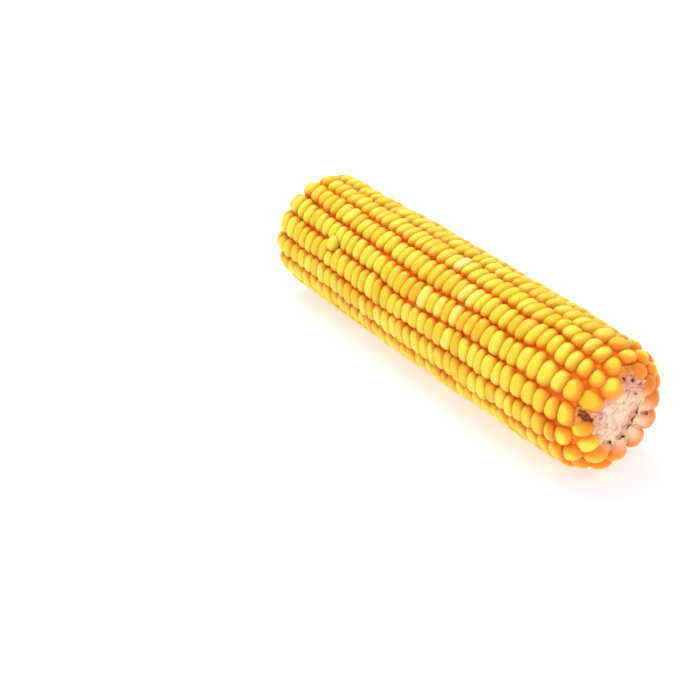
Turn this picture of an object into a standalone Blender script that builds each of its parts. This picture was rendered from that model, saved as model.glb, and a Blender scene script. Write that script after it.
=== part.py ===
"""A husked, dried ear of yellow dent corn, lying on its side.

The ear lies along X with its butt end at +X and its tip at -X, and rests on the crowns of its
two lowest rows of kernels. Two closed solids make it: `kernels`, the ear's body with every
kernel raised from it, and `cob`, the woody stub of the cob that shows in the middle of the butt
end. Units are metres, +Z is up, and the origin is under the middle of the ear.

Places on the ear are given by two numbers: `s`, the distance along the ear's outline from the
rim round the cob to the tip, and `angle`, measured round the axis from straight up towards the
front (-Y). A third, `depth`, is how far a point lies under the smooth surface that would touch
all the kernels' crowns.
"""

import math
import random

import bmesh
import bpy
import numpy as np

MM = 0.001

# Driving dimensions of the ear's outline
LENGTH = 173.0 * MM            # butt end to tip
BUTT_RADIUS = 24.0 * MM        # where the flank starts
TIP_RADIUS = 22.2 * MM         # where the flank ends
BULGE = 0.9 * MM               # extra radius in the middle of the flank
SHOULDER = 14.0 * MM           # radius of the round shoulder at the butt
TIP_DOME = 8.5 * MM            # how far the blunt tip stands past the flank
TIP_ROUNDNESS = 0.8            # 1 makes the tip's outline an ellipse, less a squarer curve

# Kernels
ROWS = 16
# Furrows between the large kernels that curl over the butt end, in degrees
END_FURROWS = (8.0, 38.0, 62.0, 80.0, 97.0, 126.0, 160.0, 195.0, 228.0, 260.0, 290.0, 316.0,
               340.0)
BARE_ENDS = (2, 12)            # after these furrows a kernel is missing, and chaff is left
BARE_DROP = 1.5 * MM           # which is this much lower
TIP_RINGS = (12, 7)            # smaller kernels that close the tip, ring by ring
FURROW_DEPTH = 1.9 * MM        # between rows and kernels
END_TURN = math.radians(42.0)  # turn of the shoulder that the end kernels take
ROWS_END_RADIUS = 14.8 * MM    # the rows stop here and the tip's rings begin
TIP_RING_RADII = (8.6 * MM, 3.2 * MM)
PITCH = 4.3 * MM               # length of a kernel along its row
BUTT_EXTRA_PITCH = 2.6 * MM    # added at the butt, fading over BUTT_FADE
BUTT_FADE = 17.0 * MM
PITCH_SPREAD = 0.13            # random share of the pitch
# How far past the shoulder's turn each row starts, in mm
ROW_STARTS = (-1.4, -1.2, 2.6, 1.8, 1.4, -0.9, 1.2, -0.8, 0.6, -1.4, 1.5, -0.3, 1.0, -1.2, 0.9,
              1.2)
BUTT_STAGGER = 0.4 * MM        # random shift of where a row starts
TIP_STAGGER = 0.8 * MM         # and of where it ends
HEIGHT_SPREAD = 0.22 * MM      # random height of a crown
TIP_LIFT = 0.9 * MM            # a row's end stands out by up to this
TIP_LIFT_START = 148.0 * MM    # the lift grows from here
TIP_LIFT_LENGTH = 22.0 * MM    # over this length
TIP_DEEPENING = 0.7 * MM       # the furrows get this much deeper there
EXTRA_KERNEL_ROW = 3           # a round kernel is squeezed in at the top of this row
EXTRA_KERNEL_S = 147.0 * MM
EXTRA_KERNEL_SHARE = 0.5       # of the row's width, taken by the extra kernel
CROWN_LENGTH = 0.85            # size of a crown as a share of its kernel, along the row
CROWN_WIDTH = 0.78             # and across it
END_CROWN_LENGTH = 0.76        # the same for the end kernels, which show their flanks
CROWN_DROP = 0.25 * MM         # a crown's outer corners lie this much lower
TIP_FURROW_DEPTH = 1.3 * MM
TIP_NUB = 0.3 * MM             # the last small kernel stands out by this

# Cob stub in the butt end
RIM_RADIUS = 11.4 * MM
RIM_SCALLOP = 0.5 * MM         # the kernels' inner edges stand in and out by this
RIM_SET_BACK = 3.4 * MM        # from the butt end's furthest point
SOCKET_DEPTH = 6.0 * MM        # behind the rim
CLEARANCE = 0.3 * MM

# How neighbouring kernels meet
MEETING = 0.7 * MM             # corners of opposite kernels closer than this share a point
NESTLE = 0.45 * MM             # a kernel's side bulges this far between its neighbours' corners
SHARED_CORNER = math.radians(3.5)
TINY = 1e-6

# The flat under the ear: how much of the lowest crowns is pressed away
PRESSED = 1.3 * MM

SEED = 18


class Outline:
    """The ear's outline: a round shoulder, a slightly bulging flank and an elliptical tip."""

    STEPS = 400

    def __init__(self):
        turn = np.linspace(0.0, math.pi / 2, self.STEPS)
        share = np.linspace(0.0, 1.0, self.STEPS)
        flank_end = LENGTH - TIP_DOME
        flank = BUTT_RADIUS + (TIP_RADIUS - BUTT_RADIUS) * share + BULGE * 4 * share * (1 - share)
        along = np.concatenate([
            SHOULDER * (1 - np.cos(turn)),
            (SHOULDER + (flank_end - SHOULDER) * share)[1:],
            (flank_end + TIP_DOME * np.sin(turn) ** TIP_ROUNDNESS)[1:],
        ])
        radius = np.concatenate([
            BUTT_RADIUS - SHOULDER + SHOULDER * np.sin(turn),
            flank[1:],
            (TIP_RADIUS * np.cos(turn) ** TIP_ROUNDNESS)[1:],
        ])
        self.along = along
        self.radius = radius
        self.s = np.concatenate([[0.0], np.cumsum(np.hypot(np.diff(along), np.diff(radius)))])
        self.slope_along = np.gradient(along, self.s)
        self.slope_radius = np.gradient(radius, self.s)
        self.end = float(self.s[-1])

    def at(self, s, depth):
        """Distance from the butt end and radius of the point `depth` under the outline at s."""
        along = np.interp(s, self.s, self.along)
        radius = np.interp(s, self.s, self.radius)
        inward_along = np.interp(s, self.s, self.slope_radius)
        inward_radius = -np.interp(s, self.s, self.slope_along)
        return along + depth * inward_along, max(radius + depth * inward_radius, 0.0)

    def s_at_tip_radius(self, radius):
        """The s at which the tip has narrowed to a radius."""
        tip = self.along >= LENGTH - TIP_DOME
        return float(np.interp(-radius, -self.radius[tip], self.s[tip]))


OUTLINE = Outline()
ROWS_FIRST_S = SHOULDER * END_TURN
ROWS_LAST_S = OUTLINE.s_at_tip_radius(ROWS_END_RADIUS)


def axis_height(along):
    """Height of the ear's axis over the floor: it follows the taper, so the underside is level."""
    share = (along - SHOULDER) / (LENGTH - TIP_DOME - SHOULDER)
    return BUTT_RADIUS + (TIP_RADIUS - BUTT_RADIUS) * share + BULGE - PRESSED


def to_world(along, radius, angle):
    """World position of a point on the ear, with whatever would be under the floor pressed flat."""
    x = LENGTH / 2 - along
    y = -radius * math.sin(angle)
    z = axis_height(along) + radius * math.cos(angle)
    return x, y, max(z, 0.0)


class Sway:
    """How the furrows wander round the ear: a common twist, a sway of each their own, and
    pushes from crowded kernels."""

    START = math.radians(-5.1)
    UNEVEN = math.radians(8.0)
    WIDEST = math.radians(120.0)       # the rows are a little wider round this angle
    TWIST = math.radians(11.0)
    OWN = math.radians(1.1)
    # Furrow, s in mm, push in degrees, length in mm
    PUSHES = ((1, 40.0, -4.5, 6.0), (2, 37.0, -4.0, 6.0), (1, 124.0, -2.0, 4.0),
              (3, 120.0, -2.5, 4.0), (3, 147.0, -5.5, 3.5), (4, 150.0, -1.5, 5.0),
              (9, 60.0, 4.0, 7.0), (10, 62.0, 3.0, 6.0), (13, 104.0, -3.5, 6.0))

    def __init__(self, rng):
        self.phases = [(rng.uniform(0, 2 * math.pi), rng.uniform(0, 2 * math.pi))
                       for _ in range(ROWS)]

    def angle(self, line, s):
        """Angle of a furrow at s; `line` counts the furrows from the top towards the front."""
        base = self.START + 2 * math.pi * line / ROWS
        uneven = self.UNEVEN * ((1 + math.sin(base - self.WIDEST)) / 2) ** 2
        tipwards = max(s - 78 * MM, 0.0) / (100 * MM)
        twist = -self.TWIST * tipwards ** 1.5
        slow, fast = self.phases[line % ROWS]
        own = math.sin(s / (24 * MM) + slow) + 0.6 * math.sin(s / (9 * MM) + fast)
        pushed = 0.0
        for pushed_line, place, push, length in self.PUSHES:
            if line % ROWS == pushed_line:
                pushed += math.radians(push) * math.exp(-((s / MM - place) / length) ** 2)
        return base + uneven + twist + self.OWN * own + pushed


def tip_share(s):
    """How much of the tip's lift and deepening applies at s: 0 on the flank, 1 at the tip."""
    return min(max((s - TIP_LIFT_START) / TIP_LIFT_LENGTH, 0.0), 1.0)


def kernel_ends(row, rng):
    """The s of the ends of all the kernels in one row, from the butt to the tip."""
    first = ROWS_FIRST_S + ROW_STARTS[row] * MM + rng.uniform(-BUTT_STAGGER, BUTT_STAGGER)
    span = ROWS_LAST_S + rng.uniform(-TIP_STAGGER, TIP_STAGGER) - first
    lengths = []
    while sum(lengths) < span - PITCH / 2:
        pitch = PITCH + BUTT_EXTRA_PITCH * math.exp(-sum(lengths) / BUTT_FADE)
        lengths.append(pitch * (1 + rng.uniform(-PITCH_SPREAD, PITCH_SPREAD)))
    ends = [first]
    for length in lengths:
        ends.append(ends[-1] + length * span / sum(lengths))
    return ends


class Skin:
    """The growing mesh of the kernels' node: furrow points, and crowns zipped into them."""

    def __init__(self):
        self.bm = bmesh.new()
        self.place = {}
        self.radius = {}

    def vertex(self, s, angle, depth):
        """A vertex `depth` under the outline at a place on the ear."""
        return self.placed(s, angle, *OUTLINE.at(s, depth))

    def vertex_off(self, along, radius, angle):
        """A vertex off the outline, in or on the cob's socket."""
        return self.placed(0.0, angle, along, radius)

    def placed(self, s, angle, along, radius):
        """Make a vertex, and remember where on the ear it is."""
        vert = self.bm.verts.new(to_world(along, radius, angle))
        self.place[vert] = (s, angle)
        self.radius[vert] = radius
        return vert

    def face(self, *verts):
        """A triangle, left out if two of its corners are the same vertex."""
        if len(set(verts)) == 3:
            self.bm.faces.new(verts)

    def kernel(self, border, s, angle, half_s, half_angle, height, domed=False):
        """A kernel: a crown over the centre, zipped to its border loop; a large one is domed."""
        sides, length = (8, END_CROWN_LENGTH) if domed else (6, CROWN_LENGTH)
        crown = []
        for k in range(sides):
            turn = 2 * math.pi * k / sides
            lengthwise = length * math.sin(turn)
            across = CROWN_WIDTH * math.cos(turn)
            drop = CROWN_DROP * abs(math.cos(turn)) ** 3
            crown.append(self.vertex(s + half_s * lengthwise, angle + half_angle * across,
                                     drop - height))

        def bearing(vert):
            place_s, place_angle = self.place[vert]
            lengthwise = (place_s - s) / half_s
            across = math.remainder(place_angle - angle, 2 * math.pi) / half_angle
            return math.atan2(lengthwise, across) % (2 * math.pi)

        border = sorted(border, key=bearing)
        crown = sorted(crown, key=bearing)
        self.zip(border, crown, bearing)
        if domed:
            top = self.vertex(s, angle, -height)
            for k in range(sides):
                self.face(crown[k], crown[(k + 1) % sides], top)
        else:
            # The fan starts at the lowest corner, which keeps a pressed crown flat
            lowest = min(range(sides), key=lambda k: crown[k].co.z)
            fan = crown[lowest:] + crown[:lowest]
            for near, far in zip(fan[1:], fan[2:]):
                self.face(fan[0], near, far)

    def zip(self, outer, inner, bearing):
        """Fill the band between two loops with triangles, going round by bearing."""
        outer_turn = [bearing(v) for v in outer] + [bearing(outer[0]) + 2 * math.pi]
        inner_turn = [bearing(v) for v in inner] + [bearing(inner[0]) + 2 * math.pi]
        i = j = 0
        while i < len(outer) or j < len(inner):
            step_outer = j == len(inner) or (
                i < len(outer) and outer_turn[i + 1] <= inner_turn[j + 1])
            a = outer[i % len(outer)]
            b = inner[j % len(inner)]
            if step_outer:
                i += 1
                self.face(a, outer[i % len(outer)], b)
            else:
                j += 1
                self.face(a, inner[j % len(inner)], b)


class Furrow:
    """The points along the furrow between two rows: the corners of the kernels on both sides."""

    def __init__(self, skin, sway, line, before, after):
        """`before` and `after` hold the kernel ends of the rows on the furrow's two sides."""
        first = (before[0] + after[0]) / 2
        last = (before[-1] + after[-1]) / 2
        inner = [(s, -1, k + 1) for k, s in enumerate(before[1:-1])]
        inner += [(s, 1, k + 1) for k, s in enumerate(after[1:-1])]
        self.points = []
        self.knot = {}
        self.add(skin, sway, line, first, 0.0, [(-1, 0), (1, 0)])
        for group in self.merged(sorted(inner)):
            s = sum(member[0] for member in group) / len(group)
            side = group[0][1] if len(group) == 1 else 0.0
            self.add(skin, sway, line, s, side, [member[1:] for member in group])
        self.add(skin, sway, line, last, 0.0, [(-1, len(before) - 1), (1, len(after) - 1)])

    @staticmethod
    def merged(places):
        """Group the corners of opposite kernels that nearly meet, so that they share a point."""
        groups = []
        for place in places:
            near = groups and len(groups[-1]) == 1 and place[0] - groups[-1][0][0] < MEETING
            if near and place[1] != groups[-1][0][1]:
                groups[-1].append(place)
            else:
                groups.append([place])
        return groups

    def add(self, skin, sway, line, s, side, keys):
        """A furrow point, drawn in between the two kernels whose corners it is."""
        angle = sway.angle(line, s) + side * NESTLE / BUTT_RADIUS
        vert = skin.vertex(s, angle, FURROW_DEPTH + TIP_DEEPENING * tip_share(s))
        for key in keys:
            self.knot[key] = len(self.points)
        self.points.append(vert)

    def between(self, side, k):
        """The points beside kernel k of the row on one side, its two corners included."""
        return self.points[self.knot[side, k]:self.knot[side, k + 1] + 1]


class Ring:
    """A loop of points round the ear where one ring of kernels meets the next."""

    def __init__(self, points):
        """`points` are (angle, vertex) pairs in order of angle, over one turn."""
        self.points = list(points)

    def corners(self, skin, angles, s_at, depth):
        """The loop's points at some angles: near ones are shared, and the others are added."""
        found = []
        for angle in angles:
            gaps = [abs(math.remainder(angle - other, 2 * math.pi)) for other, _ in self.points]
            nearest = min(range(len(gaps)), key=gaps.__getitem__)
            if gaps[nearest] > SHARED_CORNER:
                self.points.append((angle, skin.vertex(s_at(angle), angle, depth)))
                nearest = len(self.points) - 1
            found.append(self.points[nearest])
        self.points.sort(key=lambda point: point[0] % (2 * math.pi))
        return found

    def between(self, start, end):
        """The vertices from one angle round to another, both included."""
        span = (end - start) % (2 * math.pi)
        inside = []
        for angle, vert in self.points:
            offset = (angle - start + TINY) % (2 * math.pi)
            if offset <= span + 2 * TINY:
                inside.append((offset, vert))
        return [vert for _, vert in sorted(inside, key=lambda pair: pair[0])]


def ring_angles(count, rng):
    """Angles of the furrows between the kernels of a ring, not quite evenly spaced."""
    return [2 * math.pi * (k + rng.uniform(-0.08, 0.08)) / count for k in range(count)]


def ring_s(points, skin):
    """A function that gives the s of a loop of furrow points at any angle."""
    places = sorted(skin.place[point] for point in points)
    s_values = [s for s, _ in places]
    angles = [angle for _, angle in places]

    def s_at(angle):
        return float(np.interp(angle, angles, s_values, period=2 * math.pi))

    return s_at


def add_rows(skin, sway, rng):
    """Raise the rows of kernels, and return the rings where they start and end."""
    ends = [kernel_ends(row, rng) for row in range(ROWS)]
    furrows = [Furrow(skin, sway, line, ends[line - 1], ends[line]) for line in range(ROWS)]
    rings = []
    butt_angles = [math.radians(furrow) for furrow in END_FURROWS]
    for which, angles in ((0, butt_angles), (-1, ring_angles(TIP_RINGS[0], rng))):
        points = [furrow.points[which] for furrow in furrows]
        ring = Ring((skin.place[point][1], point) for point in points)
        rings.append((ring, ring.corners(skin, angles, ring_s(points, skin), FURROW_DEPTH)))
    for row in range(ROWS):
        add_row(skin, sway, rng, row, ends[row], furrows[row], furrows[(row + 1) % ROWS], rings)
    return rings


def add_row(skin, sway, rng, row, ends, left, right, rings):
    """Raise the kernels of one row between its two furrows."""
    count = len(ends) - 1
    lift = rng.uniform(0.0, TIP_LIFT)
    creases = {0: crossing(skin, rings[0][0], left.points[0], right.points[0]),
               count: crossing(skin, rings[1][0], left.points[-1], right.points[-1])}
    extra = None
    if row == EXTRA_KERNEL_ROW:
        extra = min(range(count), key=lambda k: abs(ends[k] + ends[k + 1] - 2 * EXTRA_KERNEL_S))
        for k in (extra, extra + 1):
            angle = row_angle(sway, row, ends[k], EXTRA_KERNEL_SHARE)
            creases[k] = [skin.vertex(ends[k], angle, FURROW_DEPTH)]
    for k in range(count):
        crease = creases.get(k, []) + creases.get(k + 1, [])
        if k == extra:
            parts = ((0.0, EXTRA_KERNEL_SHARE, left.between(1, k) + crease),
                     (EXTRA_KERNEL_SHARE, 1.0, right.between(-1, k) + crease))
        else:
            parts = ((0.0, 1.0, left.between(1, k) + right.between(-1, k) + crease),)
        s = (ends[k] + ends[k + 1]) / 2
        for start, end, border in parts:
            start_angle = row_angle(sway, row, s, start)
            end_angle = row_angle(sway, row, s, end)
            height = rng.uniform(-HEIGHT_SPREAD, HEIGHT_SPREAD) + lift * tip_share(s)
            skin.kernel(border, s, (start_angle + end_angle) / 2, (ends[k + 1] - ends[k]) / 2,
                        (end_angle - start_angle) / 2, height)


def row_angle(sway, row, s, share):
    """Angle of a point at a share of the way from a row's first furrow to its second."""
    return sway.angle(row, s) * (1 - share) + sway.angle(row + 1, s) * share


def crossing(skin, ring, left, right):
    """The ring's points strictly between two furrows' ends."""
    between = ring.between(skin.place[left][1], skin.place[right][1])
    return [vert for vert in between if vert not in (left, right)]


def add_ring(skin, rng, outer, outer_corners, inner, inner_corners, domed, bare=()):
    """A ring of kernels between two loops with matching corners, some of them bare chaff."""
    count = len(outer_corners)
    for k in range(count):
        start, end = outer_corners[k], outer_corners[(k + 1) % count]
        inner_start, inner_end = inner_corners[k], inner_corners[(k + 1) % count]
        border = outer.between(start[0], end[0]) + inner.between(inner_start[0], inner_end[0])
        s_outer = (skin.place[start[1]][0] + skin.place[end[1]][0]) / 2
        s_inner = (skin.place[inner_start[1]][0] + skin.place[inner_end[1]][0]) / 2
        half_angle = ((end[0] - start[0]) % (2 * math.pi)) / 2
        height = rng.uniform(-HEIGHT_SPREAD, HEIGHT_SPREAD) - (BARE_DROP if k in bare else 0.0)
        skin.kernel(border, (s_outer + s_inner) / 2, start[0] + half_angle,
                    abs(s_outer - s_inner) / 2, half_angle, height, domed)


def add_butt_end(skin, rng, start_ring):
    """The large end kernels and the socket they leave for the cob, whose rim is returned."""
    ring, corners = start_ring
    rim = [(angle, skin.vertex_off(RIM_SET_BACK, RIM_RADIUS + RIM_SCALLOP, angle))
           for angle, _ in corners]
    mids = []
    for (angle, _), (following, _) in zip(rim, rim[1:] + rim[:1]):
        middle = angle + ((following - angle) % (2 * math.pi)) / 2
        mids.append((middle, skin.vertex_off(RIM_SET_BACK, RIM_RADIUS - RIM_SCALLOP, middle)))
    loop = Ring(point for pair in zip(rim, mids) for point in pair)
    add_ring(skin, rng, ring, corners, loop, rim, domed=True, bare=BARE_ENDS)
    floor_along = RIM_SET_BACK + SOCKET_DEPTH
    floor = [skin.vertex_off(floor_along, skin.radius[vert], angle) for angle, vert in loop.points]
    centre = skin.vertex_off(floor_along, 0.0, 0.0)
    count = len(floor)
    for k in range(count):
        near, far = loop.points[k][1], loop.points[(k + 1) % count][1]
        deep_near, deep_far = floor[k], floor[(k + 1) % count]
        skin.face(near, far, deep_far)
        skin.face(near, deep_far, deep_near)
        skin.face(deep_near, deep_far, centre)
    return [(angle, skin.radius[vert]) for angle, vert in loop.points]


def add_tip(skin, rng, end_ring):
    """The rings of small kernels that close the tip, round one last small kernel."""
    ring, corners = end_ring
    for radius, following in zip(TIP_RING_RADII, TIP_RINGS[1:] + (0,)):
        s = OUTLINE.s_at_tip_radius(radius)
        inner_corners = [(angle, skin.vertex(s, angle, TIP_FURROW_DEPTH)) for angle, _ in corners]
        inner = Ring(inner_corners)
        next_corners = inner.corners(skin, ring_angles(following, rng), lambda angle: s,
                                     TIP_FURROW_DEPTH)
        add_ring(skin, rng, ring, corners, inner, inner_corners, domed=False)
        ring, corners = inner, next_corners
    loop = [vert for _, vert in ring.points]
    crown_s = OUTLINE.s_at_tip_radius(TIP_RING_RADII[-1] * 0.6)
    crown = [skin.vertex(crown_s, angle, -TIP_NUB) for angle, _ in ring.points]
    top = skin.vertex(OUTLINE.end, 0.0, -2 * TIP_NUB)
    for k in range(len(loop)):
        following = (k + 1) % len(loop)
        skin.face(loop[k], loop[following], crown[following])
        skin.face(loop[k], crown[following], crown[k])
        skin.face(crown[k], crown[following], top)


def make_cob(rim):
    """The cob's stub: it fills its socket and shows a rough, dished end with a soft middle."""
    rng = random.Random(SEED + 1)
    bm = bmesh.new()
    back = RIM_SET_BACK + SOCKET_DEPTH - CLEARANCE
    # Each ring: share of the rim's radius, distance from the butt end, roughness
    rings = ((1.0, back, 0.0), (1.0, RIM_SET_BACK + 0.4 * MM, 0.25 * MM),
             (0.86, RIM_SET_BACK - 0.7 * MM, 0.35 * MM), (0.6, RIM_SET_BACK - 0.2 * MM, 0.3 * MM),
             (0.3, RIM_SET_BACK + 0.6 * MM, 0.2 * MM))
    loops = []
    for share, along, rough in rings:
        loops.append([bm.verts.new(to_world(along + rng.uniform(-rough, rough),
                                            share * (radius - CLEARANCE), angle))
                      for angle, radius in rim])
    back_centre = bm.verts.new(to_world(back, 0.0, 0.0))
    front_centre = bm.verts.new(to_world(RIM_SET_BACK + 0.7 * MM, 0.0, 0.0))
    count = len(rim)
    for k in range(count):
        following = (k + 1) % count
        bm.faces.new((loops[0][following], loops[0][k], back_centre))
        bm.faces.new((loops[-1][k], loops[-1][following], front_centre))
        for near, far in zip(loops, loops[1:]):
            bm.faces.new((near[k], near[following], far[following]))
            bm.faces.new((near[k], far[following], far[k]))
    return finished("cob", bm, "cob_pith", (0.83, 0.71, 0.55), 0.85)


def make_kernels():
    """The ear's body with all its kernels, and the rim of the cob's socket."""
    rng = random.Random(SEED)
    sway = Sway(rng)
    skin = Skin()
    start_ring, end_ring = add_rows(skin, sway, rng)
    rim = add_butt_end(skin, rng, start_ring)
    add_tip(skin, rng, end_ring)
    return finished("kernels", skin.bm, "dry_yellow_kernel", (0.93, 0.62, 0.06), 0.35), rim


def finished(name, bm, finish, colour, roughness):
    """An object with outward faces and its own material, from a closed mesh."""
    bmesh.ops.recalc_face_normals(bm, faces=bm.faces)
    mesh = bpy.data.meshes.new(name)
    bm.to_mesh(mesh)
    bm.free()
    material = bpy.data.materials.new(finish)
    material.use_nodes = True
    shader = material.node_tree.nodes["Principled BSDF"]
    shader.inputs["Base Color"].default_value = (*colour, 1.0)
    shader.inputs["Roughness"].default_value = roughness
    shader.inputs["Metallic"].default_value = 0.0
    mesh.materials.append(material)
    piece = bpy.data.objects.new(name, mesh)
    bpy.context.scene.collection.objects.link(piece)
    return piece


def main():
    """Empty the scene, and build the ear in it."""
    for old in list(bpy.data.objects):
        bpy.data.objects.remove(old, do_unlink=True)
    _, rim = make_kernels()
    make_cob(rim)


main()
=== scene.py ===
# %% [markdown]
# # A dried ear of field corn
#
# An ear of corn is a woody cob wrapped in rows of kernels. Dried for storage, the kernels turn
# from soft and round to hard, close-packed pillows: pale yellow on the crown, orange and
# slightly see-through on the flanks, where they press on each other.
#
# This lesson dresses a plain model of such an ear. The frame below holds that model: the piece
# `kernels` with every kernel in its place, and the stub `cob` in the butt end. We work out the
# same places again with arrays, and set a rounder, finer kernel on each.

# %% Load the frame
import math
import random

import bpy
import numpy as np
from mathutils import Euler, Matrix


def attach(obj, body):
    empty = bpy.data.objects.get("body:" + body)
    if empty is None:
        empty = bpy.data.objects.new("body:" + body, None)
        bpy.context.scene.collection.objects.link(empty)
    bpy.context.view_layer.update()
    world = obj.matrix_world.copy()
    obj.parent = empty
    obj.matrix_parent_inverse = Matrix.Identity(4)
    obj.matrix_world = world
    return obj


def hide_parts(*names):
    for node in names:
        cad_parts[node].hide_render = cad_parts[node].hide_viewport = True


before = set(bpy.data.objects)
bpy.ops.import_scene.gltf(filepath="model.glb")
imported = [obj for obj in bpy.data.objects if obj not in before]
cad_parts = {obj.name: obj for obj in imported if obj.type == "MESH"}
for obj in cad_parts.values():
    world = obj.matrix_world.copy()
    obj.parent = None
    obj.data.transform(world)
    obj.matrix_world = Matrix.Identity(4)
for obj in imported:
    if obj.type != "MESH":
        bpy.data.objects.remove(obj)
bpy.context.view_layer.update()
MM = 0.001
TURN = 2 * math.pi

# %% [markdown]
# ## The outline that all kernels touch
#
# A sheet laid tightly over the ear would have a simple turned shape: a round shoulder at the
# butt, a flank that bulges a little and tapers, and a blunt, rounded tip. We could model that
# sheet and scatter kernels on it with instances, but a kernel's place is easier to control with
# two numbers: `s`, the distance along the outline from the rim of the cob, and `angle`, from
# straight up towards the front. Depth is measured inwards from the sheet.

# %% Outline of the ear
LENGTH = 173.0 * MM
BUTT_RADIUS = 24.0 * MM
TIP_RADIUS = 22.2 * MM
BULGE = 0.9 * MM
SHOULDER = 14.0 * MM
TIP_DOME = 8.5 * MM
TIP_ROUNDNESS = 0.8
PRESSED = 1.3 * MM
STEPS = 400


def outline_table():
    """Distance from the butt, radius and arc length along the outline, as three arrays.

    The shoulder is a quarter of a circle, the flank a straight taper plus a parabola, and the
    tip a quarter of an ellipse made squarer by raising sine and cosine to TIP_ROUNDNESS.
    """
    turn = np.linspace(0.0, math.pi / 2, STEPS)
    share = np.linspace(0.0, 1.0, STEPS)
    flank_end = LENGTH - TIP_DOME
    flank = BUTT_RADIUS + (TIP_RADIUS - BUTT_RADIUS) * share + BULGE * 4 * share * (1 - share)
    along = np.concatenate([SHOULDER * (1 - np.cos(turn)),
                            (SHOULDER + (flank_end - SHOULDER) * share)[1:],
                            (flank_end + TIP_DOME * np.sin(turn) ** TIP_ROUNDNESS)[1:]])
    radius = np.concatenate([BUTT_RADIUS - SHOULDER + SHOULDER * np.sin(turn),
                             flank[1:], (TIP_RADIUS * np.cos(turn) ** TIP_ROUNDNESS)[1:]])
    arc = np.concatenate([[0.0], np.cumsum(np.hypot(np.diff(along), np.diff(radius)))])
    return along, radius, arc


ALONG, RADIUS, ARC = outline_table()
SLOPE_ALONG = np.gradient(ALONG, ARC)
SLOPE_RADIUS = np.gradient(RADIUS, ARC)


def on_ear(s, angle, depth):
    """World points `depth` under the outline at (s, angle): the outline's point moved along its
    inward normal, turned about the axis. Below s = 0 the outline goes on flat towards the axis.
    Nothing goes under the floor: it is pressed flat."""
    along = np.interp(s, ARC, ALONG) + depth * np.interp(s, ARC, SLOPE_RADIUS)
    radius = np.interp(s, ARC, RADIUS) - depth * np.interp(s, ARC, SLOPE_ALONG)
    radius = radius + np.minimum(s, 0.0)
    return in_world(along, np.maximum(radius, 0.0), angle)


def in_world(along, radius, angle):
    """World points from the distance to the butt end, the radius and the angle."""
    share = (along - SHOULDER) / (LENGTH - TIP_DOME - SHOULDER)
    axis_height = BUTT_RADIUS + (TIP_RADIUS - BUTT_RADIUS) * share + BULGE - PRESSED
    x = LENGTH / 2 - along
    y = -radius * np.sin(angle)
    z = axis_height + radius * np.cos(angle)
    return np.stack(np.broadcast_arrays(x, y, np.maximum(z, 0.0)), axis=-1)


def tip_arc(radius):
    """The arc length at which the tip has narrowed to a radius."""
    tip = ALONG >= LENGTH - TIP_DOME
    return float(np.interp(-radius, -RADIUS[tip], ARC[tip]))


print(f"outline from rim to tip: {ARC[-1] / MM:.1f} mm, tip ring arcs start at "
      f"{tip_arc(14.8 * MM) / MM:.1f} mm")

# %% [markdown]
# ## Furrows that wander
#
# Sixteen furrows run down the ear. On a real ear they are never straight: the whole bundle
# twists towards the tip, each furrow sways a little by itself, and where one kernel too many
# has grown it pushes the furrow beside it away. All of these are smooth functions of `s`, so
# one formula gives any point of any furrow.

# %% Furrow angles
SEED = 18
ROWS = 16
START = math.radians(-5.1)
UNEVEN = math.radians(8.0)
WIDEST = math.radians(120.0)
TWIST = math.radians(11.0)
OWN_SWAY = math.radians(1.1)
PUSHES = (                                       # furrow, s in mm, push in degrees, length in mm
    (1, 40.0, -4.5, 6.0),
    (2, 37.0, -4.0, 6.0),
    (1, 124.0, -2.0, 4.0),
    (3, 120.0, -2.5, 4.0),
    (3, 147.0, -2.5, 6.0),
    (4, 150.0, -1.5, 5.0),
    (9, 60.0, 4.0, 7.0),
    (10, 62.0, 3.0, 6.0),
    (13, 104.0, -3.5, 6.0),
)

layout_rng = random.Random(SEED)
sway_phases = np.array([(layout_rng.uniform(0, TURN), layout_rng.uniform(0, TURN))
                        for _ in range(ROWS)])


def furrow_angle(line, s):
    """Angle of furrow `line` at s: its share of a turn, plus twist, sway and pushes.

    The shares are even but for a squared sine that makes one side's rows a little wider. The twist
    grows with the 1.5th power of the distance past the middle, the sway is the sum of two
    sines, and each push is a bell curve.
    """
    line = np.asarray(line)
    base = START + TURN * line / ROWS
    uneven = UNEVEN * ((1 + np.sin(base - WIDEST)) / 2) ** 2
    twist = -TWIST * (np.maximum(s - 78 * MM, 0.0) / (100 * MM)) ** 1.5
    slow, fast = np.moveaxis(sway_phases[line % ROWS], -1, 0)
    sway = OWN_SWAY * (np.sin(s / (24 * MM) + slow) + 0.6 * np.sin(s / (9 * MM) + fast))
    pushed = sum(math.radians(push) * (line % ROWS == pushed_line)
                 * np.exp(-((s / MM - place) / length) ** 2)
                 for pushed_line, place, push, length in PUSHES)
    return base + uneven + twist + sway + pushed


print("furrow 2 at the butt, middle and tip, in degrees:",
      [round(math.degrees(float(furrow_angle(2, s))), 1) for s in (0.02, 0.09, 0.165)])

# %% [markdown]
# ## A place for every kernel
#
# Kernels fill each row end to end. They are longest at the butt and shorten to an even length
# within a few centimetres, and each row's last ones stand out a little at the tip. Fourteen large kernels curl over the butt end and two rings of small
# ones close the tip. Each kernel is one line of a table: where it starts and ends along the
# outline, which furrows hold it, and how high it stands. The draws come from one seeded
# generator, in a fixed order, so the ear is the same each time.

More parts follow.
